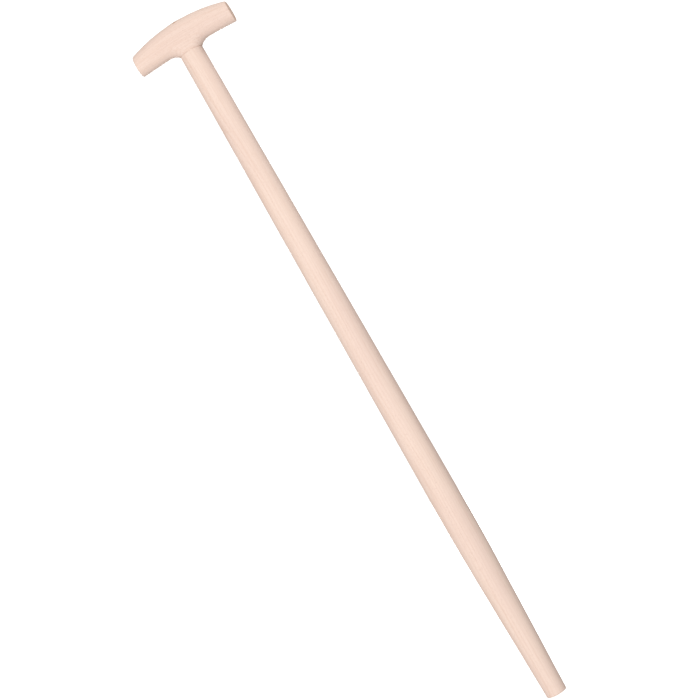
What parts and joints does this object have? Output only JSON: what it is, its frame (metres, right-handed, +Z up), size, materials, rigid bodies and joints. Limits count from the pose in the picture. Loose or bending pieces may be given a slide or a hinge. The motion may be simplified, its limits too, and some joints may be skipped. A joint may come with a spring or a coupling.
{
  "type": "garden dibber",
  "caption": "Long-handled wooden garden dibber: a turned tapering shaft with a blunt tip and an arched T grip wedged on top.",
  "frame": {"origin": "centre of the flat face at the lower tip of the shaft", "axes": "+Z up the shaft towards the grip, +X along the T grip, -Y towards the front"},
  "size_m": [0.135, 0.0384, 0.95],
  "materials": {
    "shaft_wood": "pale beech, sanded, bare",
    "grip_wood": "pale beech, sanded, bare",
    "wedge_wood": "slightly darker hardwood, sanded flush, bare"
  },
  "bodies": {
    "root": {"shaft": "shaft_wood", "grip": "grip_wood", "tenon_wedge": "wedge_wood"}
  },
  "joints": []
}
